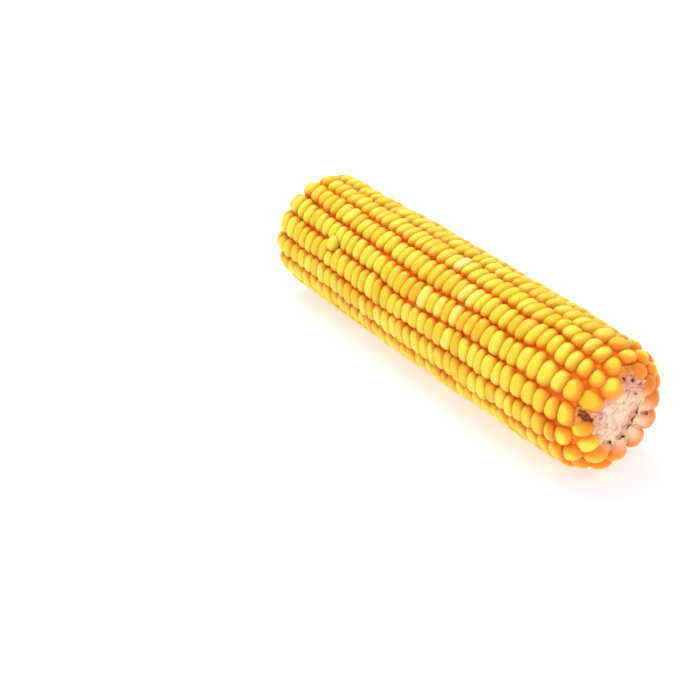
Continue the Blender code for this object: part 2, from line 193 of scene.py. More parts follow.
# %% Table of kernels
END_FURROWS = (8.0, 38.0, 62.0, 80.0, 97.0, 126.0, 160.0, 195.0, 228.0, 260.0, 290.0, 316.0,
               340.0)                            # degrees
BARE_ENDS = (2, 12)
END_STARTS = (-2.0, -0.6, 0.0, 0.8, -1.4, -2.4, -4.6, -7.0, -7.4, -6.0, -2.0, 2.6, 0.0)  # mm
LEANED_IN = np.zeros((13, 2))                    # degrees, over the bare places
LEANED_IN[1] = 0.0, 3.5
LEANED_IN[3] = -4.5, 0.0
LEANED_IN[0] = -5.0, 0.0
LEANED_IN[11] = 0.0, 4.0
TIP_RINGS = (12, 7)
TIP_RING_RADII = (8.6 * MM, 3.2 * MM)
FIRST_S = SHOULDER * math.radians(42.0)
LAST_S = tip_arc(14.8 * MM)
PITCH = 4.3 * MM
BUTT_EXTRA_PITCH = 2.6 * MM
BUTT_FADE = 17.0 * MM
PITCH_SPREAD = 0.13
ROW_STARTS = (-1.4, -1.2, 2.6, 1.8, 1.4, -0.9, 1.2, -0.8, 0.6, -1.4, 1.5, -0.3, 1.0, -1.2, 0.9,
              1.2)                               # mm
BUTT_STAGGER = 0.4 * MM
TIP_STAGGER = 0.8 * MM
HEIGHT_SPREAD = 0.22 * MM
TIP_LIFT = 0.9 * MM
EXTRA_ROW = 3
EXTRA_S = 147.0 * MM
EXTRA_SHARE = 0.34
EXTRA_SWELL = 0.15 * MM
EXTRA_LIFT = 0.8 * MM
MOST_IN_ROW = 60


def tip_share(s):
    """0 on the flank, rising to 1 over the last stretch before the tip."""
    return np.clip((s - 148.0 * MM) / (22.0 * MM), 0.0, 1.0)


def kernel_ends(row, rng):
    """The ends of all kernels in a row: random lengths, stretched a little to fill the row."""
    first = FIRST_S + ROW_STARTS[row] * MM + rng.uniform(-BUTT_STAGGER, BUTT_STAGGER)
    span = LAST_S + rng.uniform(-TIP_STAGGER, TIP_STAGGER) - first
    lengths = []
    while sum(lengths) < span - PITCH / 2:
        pitch = PITCH + BUTT_EXTRA_PITCH * math.exp(-sum(lengths) / BUTT_FADE)
        lengths.append(pitch * (1 + rng.uniform(-PITCH_SPREAD, PITCH_SPREAD)))
    return first + np.concatenate([[0.0], np.cumsum(lengths)]) * span / sum(lengths)


def ring_angles(count, rng):
    """Angles of the furrows in a ring of kernels, not quite evenly spaced."""
    return [TURN * (k + rng.uniform(-0.08, 0.08)) / count for k in range(count)]


def row_table(rng, all_ends):
    """Lines (start, end, row, first share, last share, 0, 0, height, crease) for all the rows."""
    lines = []
    for row, ends in enumerate(all_ends):
        lift = rng.uniform(0.0, TIP_LIFT)
        extra = None
        if row == EXTRA_ROW:
            extra = int(np.argmin(np.abs(ends[:-1] + ends[1:] - 2 * EXTRA_S)))
        for k in range(len(ends) - 1):
            shares = ((-0.30, EXTRA_SHARE), (EXTRA_SHARE, 1.0)) if k == extra else ((0.0, 1.0),)
            for low, high in shares:
                height = rng.uniform(-HEIGHT_SPREAD, HEIGHT_SPREAD)
                height += lift * tip_share((ends[k] + ends[k + 1]) / 2)
                swell = EXTRA_SWELL if low < 0 else 0.0
                lines.append((ends[k] - swell, ends[k + 1] + swell, row, low, high, 0.0, 0.0,
                              height + swell, row * MOST_IN_ROW + k))
    return np.array(lines)


def row_edge(which, angle):
    """The s where the rows start (which = 0) or stop (-1), at an angle round the ear."""
    edges = np.array([ends[which] for ends in all_ends])
    lines = np.arange(ROWS)
    middles = (furrow_angle(lines, edges) + furrow_angle(lines + 1, edges)) / 2
    return np.interp(angle, middles, edges, period=TURN)


def ring_table(rng, start, end, angles):
    """Lines (start, end, -1, 0, 1, first angle, last angle, height, -1) for a ring."""
    following = angles[1:] + [angles[0] + TURN]
    heights = [rng.uniform(-HEIGHT_SPREAD, HEIGHT_SPREAD) for _ in angles]
    table = np.full((len(angles), 9), -1.0)
    table[:, 0] = start
    table[:, 1] = end
    table[:, 3:5] = 0.0, 1.0
    table[:, 5:8] = np.stack([angles, following, heights], axis=1)
    return table


def middles(angles):
    """The angles halfway between the furrows of a ring."""
    return (np.array(angles) + np.array(angles[1:] + [angles[0] + TURN])) / 2


all_ends = [kernel_ends(row, layout_rng) for row in range(ROWS)]
butt_angles = [math.radians(furrow) for furrow in END_FURROWS]
tip_angles = ring_angles(TIP_RINGS[0], layout_rng)
rows = row_table(layout_rng, all_ends)
butt_ring = ring_table(layout_rng, np.array(END_STARTS) * MM,
                       row_edge(0, middles(butt_angles)), butt_angles)
butt_ring[:, 5:7] += np.radians(LEANED_IN)
tip_arcs = [LAST_S] + [tip_arc(radius) for radius in TIP_RING_RADII]
inner_tip_angles = ring_angles(TIP_RINGS[1], layout_rng)
rows_stop = row_edge(-1, middles(tip_angles))
tip_ring = np.concatenate([ring_table(layout_rng, rows_stop, tip_arcs[1], tip_angles),
                           ring_table(layout_rng, tip_arcs[1], tip_arcs[2], inner_tip_angles)])
print(f"{len(rows)} kernels in rows, {len(butt_ring)} at the butt, {len(tip_ring)} at the tip")

# %% [markdown]
# ## Closed shapes from stacked rings
#
# Every piece below is a stack of rings of points, closed by a pole at each end: a kernel from
# its crown to its root, a strand from end to end, the bed from butt to tip. One function makes
# the faces for any number of such stacks at once.

# %% Faces and mesh of stacked rings
def ring_faces(count, rings, around):
    """Triangles round the two poles and quads between the rings, for `count` stacks of points
    ordered first pole, rings, last pole."""
    here = np.arange(around)
    following = (here + 1) % around
    last = 1 + (rings - 1) * around
    fans = np.concatenate([
        np.stack([np.zeros_like(here), 1 + here, 1 + following], axis=1),
        np.stack([last + following, last + here, np.full(around, last + around)], axis=1)])
    inner = (1 + np.arange(rings - 1) * around)[:, None]
    quads = np.stack([inner + here, inner + around + here, inner + around + following,
                      inner + following], axis=2).reshape(-1, 4)
    shift = (np.arange(count) * (2 + rings * around))[:, None, None]
    return [(faces[None] + shift).reshape(-1, faces.shape[1]) for faces in (fans, quads)]


def mesh_piece(name, points, faces, values):
    """An object from an array of points, a list of face arrays and named values on the points."""
    mesh = bpy.data.meshes.new(name)
    corners = np.concatenate([part.ravel() for part in faces])
    sizes = np.concatenate([np.full(len(part), part.shape[1]) for part in faces])
    mesh.vertices.add(len(points))
    mesh.vertices.foreach_set("co", np.asarray(points, np.float32).ravel())
    mesh.loops.add(len(corners))
    mesh.loops.foreach_set("vertex_index", corners.astype(np.int32))
    mesh.polygons.add(len(sizes))
    mesh.polygons.foreach_set("loop_start", (np.cumsum(sizes) - sizes).astype(np.int32))
    mesh.update(calc_edges=True)
    for label, column in values.items():
        layer = mesh.attributes.new(label, "FLOAT", "POINT")
        layer.data.foreach_set("value", np.asarray(column, np.float32).ravel())
    mesh.shade_smooth()
    piece = bpy.data.objects.new(name, mesh)
    bpy.context.scene.collection.objects.link(piece)
    return piece


def stacked(name, points, rings, around, values):
    """A piece from points of shape (count, 2 + rings * around, 3)."""
    faces = ring_faces(len(points), rings, around)
    piece = mesh_piece(name, points.reshape(-1, 3), faces, values)
    flat = points.reshape(-1, 3)
    volume = sum(np.einsum("ij,ij->", flat[part[:, 0]],
                           np.cross(flat[part[:, k]], flat[part[:, k + 1]]))
                 for part in faces for k in range(1, part.shape[1] - 1)) / 6
    triangles = sum(len(part) * (part.shape[1] - 2) for part in faces)
    print(f"{name}: {triangles} triangles, {volume * 1e6:.2f} cm3")
    return piece


# %% [markdown]
# ## The form of one kernel
#
# Seen from above, a kernel's crown is an oval, wider across the row than along it, but its foot
# is pressed by its neighbours into a rounded rectangle. Seen from the side it is a pillow whose
# flanks drop more and more steeply into the furrow. A superellipse whose exponent grows from
# crown to foot gives the first, and a curve of the same family gives the second. A subdivided
# cube could be pushed into this shape, but the formula bends all 600 kernels at once to fit
# between their own furrows.

# %% Kernel form
ROW_FORM = 12, np.array([0.46, 0.76, 0.93, 1.0, 0.95])    # corners and ring sizes, root last
END_FORM = 20, np.array([0.30, 0.55, 0.74, 0.86, 0.94, 0.985, 1.0, 0.95])
PILLOW_DEPTH = 2.4 * MM
ROOT_DEPTH = 3.8 * MM
FOOT_BOXINESS = 3.1
# How much less orange the flanks are on the upper side, towards the back, where the light falls: painted
# light.
PAINTED_TOP_LIGHT = 0.75


def kernel_grid(boxiness, foot, corners, sizes):
    """Unit coordinates (u along the row, v across) of the points, for each kernel.

    A direction's cosine and sine are raised to 2 / exponent, which turns a circle (2) towards
    a rectangle (larger). The exponent grows from `boxiness` in the crown to `foot`.
    """
    turn = TURN * (np.arange(corners) + 0.5) / corners
    growth = np.minimum(sizes, 1.0)[None, :, None] ** 3
    exponent = boxiness[:, None, None] * (1 - growth) + foot[:, None, None] * growth
    pole = np.zeros((len(boxiness), 1))
    grid = []
    for wave in (np.cos(turn), np.sin(turn)):
        ring = sizes[None, :, None] * np.sign(wave) * np.abs(wave) ** (2 / exponent)
        grid.append(np.hstack([pole, ring.reshape(len(boxiness), -1), pole]))
    return grid


def pillow_depth(flatness, steepness, corners, sizes):
    """Depth of each point: PILLOW_DEPTH * (1 - (1 - size^flatness)^(1 / steepness)) over the
    pillow, and ROOT_DEPTH for the root."""
    sizes = np.concatenate([[0.0], np.repeat(sizes[:-1], corners)])
    depth = PILLOW_DEPTH * (1 - (1 - sizes ** flatness) ** (1 / steepness))
    root = np.full((len(flatness), corners + 1), ROOT_DEPTH)
    return np.hstack([depth, root])


def angle_in(table, s, share):
    """Angle at a share of the way across each kernel: between two furrows, or two fixed angles."""
    row = table[:, 2].astype(int)[:, None]
    first, last = table[:, 3:4], table[:, 4:5]
    left, right = table[:, 5:6], table[:, 6:7]
    before, after = furrow_angle(row, s), furrow_angle(row + 1, s)
    in_row = before + (after - before) * (first + (last - first) * share)
    return np.where(row >= 0, in_row, left + (right - left) * share)


# %% [markdown]
# ## Growing the kernels
#
# No two kernels are alike. Each gets its own boxiness, plumpness, lean and width from a second
# seeded generator, and each crease between two kernels its own tilt and bow, which both share.
# Kernels near the butt have room, so they are rounder and stand apart, and those further on
# press tightly together. The surface function takes the unit grid to the ear: `u` runs along
# the row, `v` from furrow to furrow, and the pillow's depth is measured under the outline.
#
# A few numbers are kept on each point for the finish: `fade`, how far it is from the middle of
# the yellow crown; `amber`, how orange its flank is; `pale`, how near it is to the cob; and
# `tone`, one for each kernel. The yellow crown leans towards the tip side, where the key lamp
# shines, and fades towards the edges: the kernel's own pale crown with painted light and shade.
# `amber` is lower on the upper side, as painted light.

# %% Grow kernels from a table
form_rng = np.random.default_rng(SEED)
CREASES = ROWS * MOST_IN_ROW
crease_tilt = form_rng.normal(0.0, 0.40, CREASES) * MM
crease_bow = form_rng.normal(0.16, 0.16, CREASES) * MM
ODD_TONES = (                                    # row, s in mm, tone: below 0 pale, above 1 deep
    (0, 91.0, -0.5),
    (1, 80.0, -0.12),
    (1, 76.0, -0.1),
    (2, 92.0, -0.15),
    (2, 83.0, -0.1),
    (2, 78.0, -0.12),
    (2, 96.0, 1.3),
    (2, 74.0, 1.3),
    (2, 65.0, 1.2),
    (1, 54.0, 1.1),
    (3, 71.0, 1.2),
    (3, 77.0, -0.1),
    (3, 146.5, 0.0),
)


def tones(table):
    """A tone from 0 (pale) to 1 (golden) for each kernel, with the chosen odd ones put in."""
    tone = form_rng.uniform(0.0, 1.0, len(table))
    for row, place, odd in ODD_TONES:
        gap = np.abs((table[:, 0] + table[:, 1]) / 2 - place * MM) + (table[:, 2] != row)
        if gap.min() < 4 * MM:
            tone[np.argmin(gap)] = odd
    return tone[:, None]


def smooth(value, low, high):
    """0 below `low`, 1 above `high`, and an S-curve between."""
    share = np.clip((value - low) / (high - low), 0.0, 1.0)
    return share * share * (3 - 2 * share)


def crease_shift(table, which, v):
    """How far each kernel's crease, its first (0) or its last (1), runs off straight at v."""
    crease = table[:, 8].astype(int)
    number = np.maximum(crease, 0) + which
    tilt = np.where(crease >= 0, crease_tilt[number], 0.0)[:, None]
    bow = np.where(crease >= 0, crease_bow[number], 0.0)[:, None]
    return tilt * v - bow * (1 - v ** 2)


def grow(name, table, form, reach, across, overlap, crown_at, slump=0.0, contrast=1.0):
    """Kernels for every line of a table: `reach` scales their depth, `across` their width and
    `overlap` their length, `crown_at` is where along u the yellow is, `slump` sinks the side
    towards the butt, and `contrast` is how fast the yellow fades."""
    count = len(table)
    corners, sizes = form
    middle = (table[:, 0] + table[:, 1])[:, None] / 2
    half = (table[:, 1] - table[:, 0])[:, None] / 2
    room = np.exp(-((middle - 8 * MM) / (17 * MM)) ** 2)
    extra = (table[:, 3] < 0) & (table[:, 2] >= 0)
    foot = np.where(extra, 2.2, FOOT_BOXINESS - 0.4 * room[:, 0])
    u, v = kernel_grid(form_rng.uniform(2.0, 2.5, count) - 0.1 * room[:, 0], foot, corners, sizes)
    flatness = form_rng.uniform(2.7, 3.6, (count, 1)) - 0.9 * room
    depth = pillow_depth(flatness, form_rng.uniform(1.6, 2.0, (count, 1)), corners, sizes)
    depth = depth * (reach + 0.2 * room + 0.35 * tip_share(middle))
    lean = form_rng.normal(0.0, 0.10 * MM, (2, count, 1))
    width = across + form_rng.uniform(-0.07, 0.06, (count, 1)) - 0.05 * room
    aside = form_rng.normal(0.0, 0.018, (count, 1))
    height = table[:, 7:8] + form_rng.normal(0.0, 0.12 * MM, (count, 1))
    height = height + EXTRA_LIFT * extra[:, None]
    longer = overlap - 0.10 * room + form_rng.uniform(-0.03, 0.03, (count, 1))
    shift = (crease_shift(table, 0, v) * (1 - u) + crease_shift(table, 1, v) * (1 + u)) / 2
    s = middle + half * longer * u + shift
    angle = angle_in(table, s, 0.5 + 0.5 * width * v + aside)
    sunk = slump * np.clip(0.1 - u, 0.0, 1.1) ** 1.5
    points = on_ear(s, angle, depth - height + sunk + lean[0] * u + lean[1] * v)
    # The yellow sits towards the tip side, where the key lamp shines, and fades towards the edges: the
    # kernel's own pale crown, with painted light and shade.
    fade = np.hypot(u - crown_at - 0.12 * room, 0.94 * v) * (1 + 0.32 * room) * contrast
    # Less amber on the upper back side: painted light.
    amber = smooth(np.abs(v), 0.45, 0.9) * (1 - PAINTED_TOP_LIGHT * smooth(np.cos(angle + 0.7), 0.5, 1.0))
    pale = smooth(-s, -4.0 * MM, 2.5 * MM)
    values = {"fade": fade, "amber": amber, "pale": pale,
              "loose": np.broadcast_to(room, u.shape),
              "tone": np.broadcast_to(tones(table), u.shape)}
    piece = stacked(name, points, len(sizes), corners, values)
    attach(piece, "root")
    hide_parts("kernels")
    return piece


whole_end = np.array([k not in BARE_ENDS for k in range(len(butt_ring))])
crown_places = np.array([[0.62, 0.7, 0.0, 1.2, 0.35, 0.8, 1.1, 1.5, 1.5, 1.5, 1.5, 1.5, 0.0]]).T
slumps = np.array([[0.8, 2.2, 2.2, 2.2, 1.3, 2.2, 2.2, 2.2, 2.2, 2.2, 2.2, 2.2, 2.2]]).T * MM
contrasts = np.array([[1.2, 0.70, 0.0, 0.66, 0.9, 0.8, 0.9, 0.9, 0.9, 0.9, 0.9, 1.0, 0.0]]).T
row_kernels = grow("row_kernels", rows, ROW_FORM, reach=1.0, across=1.0, overlap=1.18, crown_at=0.14)
butt_kernels = grow("butt_kernels", butt_ring[whole_end], END_FORM, reach=1.2, across=1.03, overlap=1.14,
                    crown_at=crown_places[whole_end], slump=slumps[whole_end],
                    contrast=contrasts[whole_end])
tip_kernels = grow("tip_kernels", tip_ring, END_FORM, reach=0.5, across=1.0, overlap=1.1, crown_at=0.1)

# %% [markdown]
# ## The bed under the kernels
#
# Between the kernels one looks down into the furrow, where their flanks meet the cob. A real
# furrow ends in chaff and shadow, so one turned sheet closes it off below the kernels' flanks.

# %% Turned bed
BED_DEPTH = 2.9 * MM
AROUND = 90
ring_turn = TURN * np.arange(AROUND) / AROUND


def turned(name, along, radius, values):
    """A closed turned body. `along` and `radius` have the shape (rings, 1) or (rings, AROUND);
    the poles lie on the axis, level with the first and the last ring."""
    rings = in_world(along, radius, ring_turn[None, :]).reshape(-1, 3)
    poles = in_world(np.array([along[0].mean(), along[-1].mean()]), np.zeros(2), np.zeros(2))
    points = np.concatenate([poles[:1], rings, poles[1:]])[None]
    piece = stacked(name, points, len(along), AROUND, values)
    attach(piece, "root")
    return piece


bed_s = np.linspace(1.5 * MM, tip_arc(2 * MM), 120)
bed_along = np.interp(bed_s, ARC, ALONG) + BED_DEPTH * np.interp(bed_s, ARC, SLOPE_RADIUS)
bed_radius = np.interp(bed_s, ARC, RADIUS) - BED_DEPTH * np.interp(bed_s, ARC, SLOPE_ALONG)
bed_along = np.concatenate([[7 * MM], bed_along])
bed_radius = np.concatenate([[9.5 * MM], bed_radius])
bed_woody = 1 - smooth(np.concatenate([[0.0], bed_s]), 9 * MM, 13 * MM)
bed_bare = sum(smooth(np.cos(ring_turn - math.radians(centre)), math.cos(0.3), math.cos(0.15))
               for centre in (71.0, -6.0))
bed_values = np.concatenate([[0.0], np.outer(bed_woody, bed_bare).ravel(), [0.0]])
bed = turned("furrow_bed", bed_along[:, None], bed_radius[:, None], {"woody": bed_values})
print("bed radius from", round(bed_radius.min() / MM, 1), "to", round(bed_radius.max() / MM, 1))

# %% [markdown]
# ## The broken end of the cob
#
# At the butt the ear snapped off its stalk. The break is a rough, cream-coloured disc, soft and
# dished in the middle, torn into fibres further out. We make the disc as another turned shape,
# and add to its height a sum of waves with random directions, which reads as torn pith.

# %% Cob end
FACE_RADIUS = 12.8 * MM
FACE_SET_BACK = 2.7 * MM
FACE_BACK = 8.0 * MM
RIM_TINTS = (                                       # angle in degrees, half width, from radius in mm
    (64.0, 0.9, 8.5),
    (-22.0, 0.9, 8.5),
    (-100.0, 0.5, 7.0),
)
FACE_RINGS = 46
face_rng = np.random.default_rng(SEED + 1)


def tearing(across, up, waves, shortest, longest):
    """Rough height, about -1 to 1, of a torn surface: a sum of waves in random directions, the
    short ones lower than the long ones."""
    length = face_rng.uniform(shortest, longest, waves)
    heading = face_rng.uniform(0.0, TURN, waves)
    phase = face_rng.uniform(0.0, TURN, waves)
    way = across[..., None] * np.cos(heading) + up[..., None] * np.sin(heading)
    heights = np.sin(TURN * way / length + phase) * length / length.mean()
    return heights.sum(axis=-1) / np.sqrt(waves)


def break_along(radius):
    """Where the break lies along the ear: set back, dished in the middle, higher in a ring
    further out."""
    share = radius / FACE_RADIUS
    hollow = 0.5 * MM * np.exp(-(share / 0.35) ** 2)
    return FACE_SET_BACK + hollow - 0.5 * MM * np.exp(-((share - 0.62) / 0.2) ** 2)


share = np.linspace(0.03, 1.0, FACE_RINGS)[:, None]
around = ring_turn[None, :]
flat_y = share * FACE_RADIUS * np.sin(around)
flat_z = share * FACE_RADIUS * np.cos(around)
torn = tearing(flat_y, flat_z, 40, 0.9 * MM, 4.5 * MM)
face_along = break_along(share * FACE_RADIUS) - 0.15 * MM * torn
wall = np.linspace(0.3, 1.0, 4)[:, None]
wall_along = FACE_SET_BACK + (FACE_BACK - FACE_SET_BACK) * wall + 0 * around
face_radius = np.concatenate([share * FACE_RADIUS + 0 * around, 0 * wall_along + FACE_RADIUS])
# Pinkish grey towards the rim, at the three angles listed above.
rim_tint = sum(smooth(face_radius, first * MM, (first + 2.5) * MM)
            * smooth(np.cos(around - math.radians(centre)), math.cos(width), 1.0)
            for centre, width, first in RIM_TINTS)
face = turned("cob_end", np.concatenate([face_along, wall_along]), face_radius,
              {"rim_tint": np.concatenate([[0.0], np.clip(rim_tint, 0.0, 1.0).ravel(), [0.0]])})
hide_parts("cob")

# %% [markdown]
# Fibres stick out of the break. Each is a thin three-sided strand: it starts on the disc, runs
# outwards along a random heading, bends, and ends a little above the surface.

# %% Torn fibres
STRANDS = 260
STRAND_RINGS = 6
STRAND_SIDES = 3


def strands(name, count):
    """Fibres: a quadratic path over the break, with a width that shrinks to both ends."""
    radius = FACE_RADIUS * np.sqrt(face_rng.uniform(0.0, 0.85, count))
    place = face_rng.uniform(0.0, TURN, count)
    heading = place + face_rng.normal(0.0, 0.9, count)
    length = face_rng.uniform(1.6, 5.0, count) * MM
    bend = face_rng.normal(0.0, 0.6, count)
    lift = face_rng.uniform(0.0, 0.22, count) * MM
    t = np.linspace(0.0, 1.0, STRAND_RINGS)
    turned_by = heading[:, None] + bend[:, None] * t
    y = radius[:, None] * np.sin(place)[:, None] + length[:, None] * t * np.sin(turned_by)
    z = radius[:, None] * np.cos(place)[:, None] + length[:, None] * t * np.cos(turned_by)
    size = np.hypot(y, z)
    squeeze = np.minimum(1.0, FACE_RADIUS * 0.9 / np.maximum(size, MM))
    y, z = y * squeeze, z * squeeze
    along = break_along(np.hypot(y, z)) - lift[:, None] * (4 * t * (1 - t) * 0.5 + t ** 2)
    width = face_rng.uniform(0.08, 0.22, count)[:, None] * MM * np.sqrt(1.02 - (2 * t - 1) ** 2)
    turn = TURN * np.arange(STRAND_SIDES) / STRAND_SIDES
    side_y = width[..., None] * np.cos(turn) * np.cos(turned_by)[..., None]
    side_z = -width[..., None] * np.cos(turn) * np.sin(turned_by)[..., None]
    side_along = width[..., None] * np.sin(turn)
    ring_y = (y[..., None] + side_y).reshape(count, -1)
    ring_z = (z[..., None] + side_z).reshape(count, -1)
    ring_along = (along[..., None] + side_along).reshape(count, -1)
    path = [np.hstack([part[:, :1], ring, part[:, -1:]])
            for part, ring in ((y, ring_y), (z, ring_z), (along, ring_along))]
    points = in_world(path[2], np.hypot(path[0], path[1]), np.arctan2(path[0], path[1]))
    tone = np.broadcast_to(face_rng.uniform(0.0, 1.0, (count, 1)), path[0].shape)
    piece = stacked(name, points, STRAND_RINGS, STRAND_SIDES, {"tone": tone})
    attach(piece, "root")
    return piece


fibres = strands("torn_fibres", STRANDS)

# %% [markdown]
# Chaff sits where each kernel was held: papery scales, mauve to dark brown, with a dark lip.
# Around the break they stand between the cob and the last kernels. A scale is a lens-shaped
# ring stacked from its root to its lip, bent round the cob.

# %% Chaff scales
SCALE_RINGS = 7
SCALE_SIDES = 12


def scales(name, place, radius, half_width, height, lean, shade):
    """Papery scales. Each array has one number per scale: angle, radius at the root, half its
    width, height above the break, how far the lip leans outwards, and a shade from 0 to 1."""
    count = len(place)
    q = np.linspace(0.0, 1.0, SCALE_RINGS)[None, :, None]
    turn = TURN * np.arange(SCALE_SIDES)[None, None, :] / SCALE_SIDES
    narrowing = np.sqrt(np.clip(1.02 - (q * 0.96) ** 3, 0.0, 1.0))
    across = half_width[:, None, None] * narrowing * np.cos(turn)
    thick = 0.16 * MM * np.sin(turn) * (1.3 - q)
    cup = 0.5 * half_width[:, None, None] * (np.cos(turn) ** 2 - 1) * (0.3 + 0.7 * q)
    ring_radius = radius[:, None, None] + lean[:, None, None] * q ** 2 + thick + cup
    ring_along = FACE_SET_BACK + 1.2 * MM - (height[:, None, None] + 1.2 * MM) * q + 0 * across
    ring_angle = place[:, None, None] + across / radius[:, None, None]
    lip = np.broadcast_to(q, ring_radius.shape)

    def with_poles(ring):
        first = ring[:, 0].mean(axis=1, keepdims=True)
        last = ring[:, -1].mean(axis=1, keepdims=True)
        return np.hstack([first, ring.reshape(count, -1), last])

    points = in_world(with_poles(ring_along), with_poles(ring_radius), with_poles(ring_angle))
    tone = np.broadcast_to(shade[:, None], points.shape[:2])
    piece = stacked(name, points, SCALE_RINGS, SCALE_SIDES,
                    {"tone": tone, "lip": with_poles(lip)})
    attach(piece, "root")
    return piece


CLUSTERS = (                                     # angle, spread in radians, height in mm, scales
    (76.0, 0.12, 0.7, 3),
    (-38.0, 0.12, 0.7, 3),
    (-98.0, 0.04, 1.9, 4),
)
cluster_place = np.concatenate([face_rng.normal(math.radians(centre), spread, number)
                                for centre, spread, _, number in CLUSTERS])
cluster_height = np.repeat([row[2] for row in CLUSTERS], [row[3] for row in CLUSTERS])
count = len(cluster_place)
chaff = scales("chaff", cluster_place, face_rng.uniform(9.4, 11.2, count) * MM,
               face_rng.uniform(0.7, 1.3, count) * MM,
               cluster_height * face_rng.uniform(0.6, 1.3, count) * MM,
               face_rng.uniform(-0.6, 0.6, count) * MM, face_rng.uniform(0.3, 0.8, count))
held = butt_ring[:, 0] < -2.3 * MM
hug = middles(butt_angles)[held]
hugging = scales("holding_scales", hug, butt_ring[held, 0] + 12.5 * MM,
                 face_rng.uniform(2.6, 3.1, len(hug)) * MM,
                 face_rng.uniform(1.1, 1.5, len(hug)) * MM,
                 face_rng.uniform(-0.2, 0.2, len(hug)) * MM,
                 face_rng.uniform(0.1, 0.4, len(hug)))

# %% [markdown]
# In two places an end kernel has dropped out. Its seat is left: a mat of crumpled, mauve chaff
# with pits where the kernel's foot was. The pits and the low folds are painted dark brown as
# shade. The mat is a sunken kernel form with many more points, roughened by the same sum of
# waves as the break.

# %% Chaff mats
MAT_SIZES = np.linspace(0.06, 1.0, 22)
MAT_CORNERS = 48
MAT_DEPTH = 1.7 * MM
PITS = (                                         # angle in degrees, radius, size of the pit in mm
    (76.0, 15.4, 1.1),
    (71.0, 17.4, 1.6),
    (67.0, 19.8, 1.5),
    (0.0, 15.6, 0.8),
    (-17.0, 14.2, 0.9),
    (-33.0, 13.2, 0.7),
)


def chaff_mats(name, table):
    """Mats: MAT_DEPTH under the outline, less the roughness, plus a bell for each pit, and
    sunk steeply at the edge."""
    count = len(table)
    middle = (table[:, 0] + table[:, 1])[:, None] / 2
    half = (table[:, 1] - table[:, 0])[:, None] / 2
    u, v = kernel_grid(np.full(count, 3.0), np.full(count, 4.6), MAT_CORNERS, MAT_SIZES)
    s = middle + half * 1.15 * u
    angle = angle_in(table, s, 0.5 + 0.6 * v)
    radius = BUTT_RADIUS - SHOULDER + s
    across, up = radius * np.sin(angle), radius * np.cos(angle)
    rough = tearing(across, up, 44, 0.8 * MM, 2.6 * MM)
    pits = sum(np.exp(-((across - place * MM * math.sin(math.radians(turn))) ** 2
                        + (up - place * MM * math.cos(math.radians(turn))) ** 2)
                      / (size * MM) ** 2)
               for turn, place, size in PITS)
    edge = smooth(np.maximum(np.abs(u), np.abs(v)), 0.85, 1.0)
    depth = MAT_DEPTH - 0.42 * MM * rough + 1.5 * MM * pits + 1.6 * MM * edge
    depth[:, -1] = ROOT_DEPTH + MM
    # Painted shade: dark in the pits and in the low folds of the crumples.
    dark = np.clip(1.3 * pits - 0.2 * rough, 0.0, 1.0)
    outer = smooth(s + 0.8 * MM * rough, 4.5 * MM, 8.0 * MM)
    piece = stacked(name, on_ear(s, angle, depth), len(MAT_SIZES), MAT_CORNERS,
                    {"dark": dark, "outer": outer})
    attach(piece, "root")
    return piece


mat_places = butt_ring[[2, 12, 11]]
mat_places[2, :2] = -0.5 * MM, 5.5 * MM
mats = chaff_mats("chaff_mats", mat_places)

# %% [markdown]
# ## The tip
#
# The last small kernels close round a withered nub, where the silks once came out.

# %% Tip nub
nub_share = np.linspace(0.08, 1.0, 10)[:, None]
nub_s = tip_arc(3.4 * MM)
nub_along = LENGTH - 1.4 * MM * nub_share ** 2 + 0.1 * MM
nub_radius = nub_share * 3.4 * MM
nub = turned("tip_nub", np.concatenate([nub_along, nub_along[-1:] - 3 * MM])[::-1],
             np.concatenate([nub_radius, nub_radius[-1:]])[::-1], {})

# %% [markdown]
# ## Finishes
#
# Colours below are written as hex, as one would pick them, and turned into linear light by one
# function. A second helper adds a node, sets its settings and links its inputs.

# %% Colour and node helpers
def linear(hex_colour):
    """Linear RGBA from an sRGB hex colour."""
    channels = np.array([int(hex_colour[k:k + 2], 16) for k in (1, 3, 5)]) / 255
    curve = np.where(channels <= 0.04045, channels / 12.92, ((channels + 0.055) / 1.055) ** 2.4)
    return (*curve.tolist(), 1.0)


def add(tree, kind, inputs=None, **settings):
    """A node with its settings; an input is a value or another node's output to link."""
    node = tree.nodes.new(kind)
    for name, value in settings.items():
        setattr(node, name, value)
    for socket, value in (inputs or {}).items():
        if isinstance(value, bpy.types.NodeSocket):
            tree.links.new(value, node.inputs[socket])
        else:
            node.inputs[socket].default_value = value
    return node


def ramp(tree, factor, stops):
    """A colour ramp from (position, hex colour) stops; gives its colour output."""
    node = add(tree, "ShaderNodeValToRGB", {"Fac": factor})
    elements = node.color_ramp.elements
    while len(elements) < len(stops):
        elements.new(1.0)
    for element, (position, colour) in zip(elements, stops):
        element.position = position
        element.color = linear(colour)
    return node.outputs["Color"]


def mixed(tree, factor, first, second, blend="MIX"):
    """A colour mix of two colours or colour outputs; gives its result output."""
    node = tree.nodes.new("ShaderNodeMix")
    node.data_type = "RGBA"
    node.blend_type = blend
    for socket, value in ((0, factor), (6, first), (7, second)):
        if isinstance(value, bpy.types.NodeSocket):
            tree.links.new(value, node.inputs[socket])
        elif isinstance(value, str):
            node.inputs[socket].default_value = linear(value)
        else:
            node.inputs[socket].default_value = value
    return node.outputs[2]


def maths(tree, operation, *values):
    """A maths node over values or outputs; gives its output."""
    return add(tree, "ShaderNodeMath", dict(enumerate(values)), operation=operation).outputs[0]


def remapped(tree, value, low, high):
    """0 at `low`, 1 at `high`, smooth in between."""
    inputs = {"Value": value, "From Min": low, "From Max": high}
    return add(tree, "ShaderNodeMapRange", inputs,
               interpolation_type="SMOOTHSTEP").outputs["Result"]


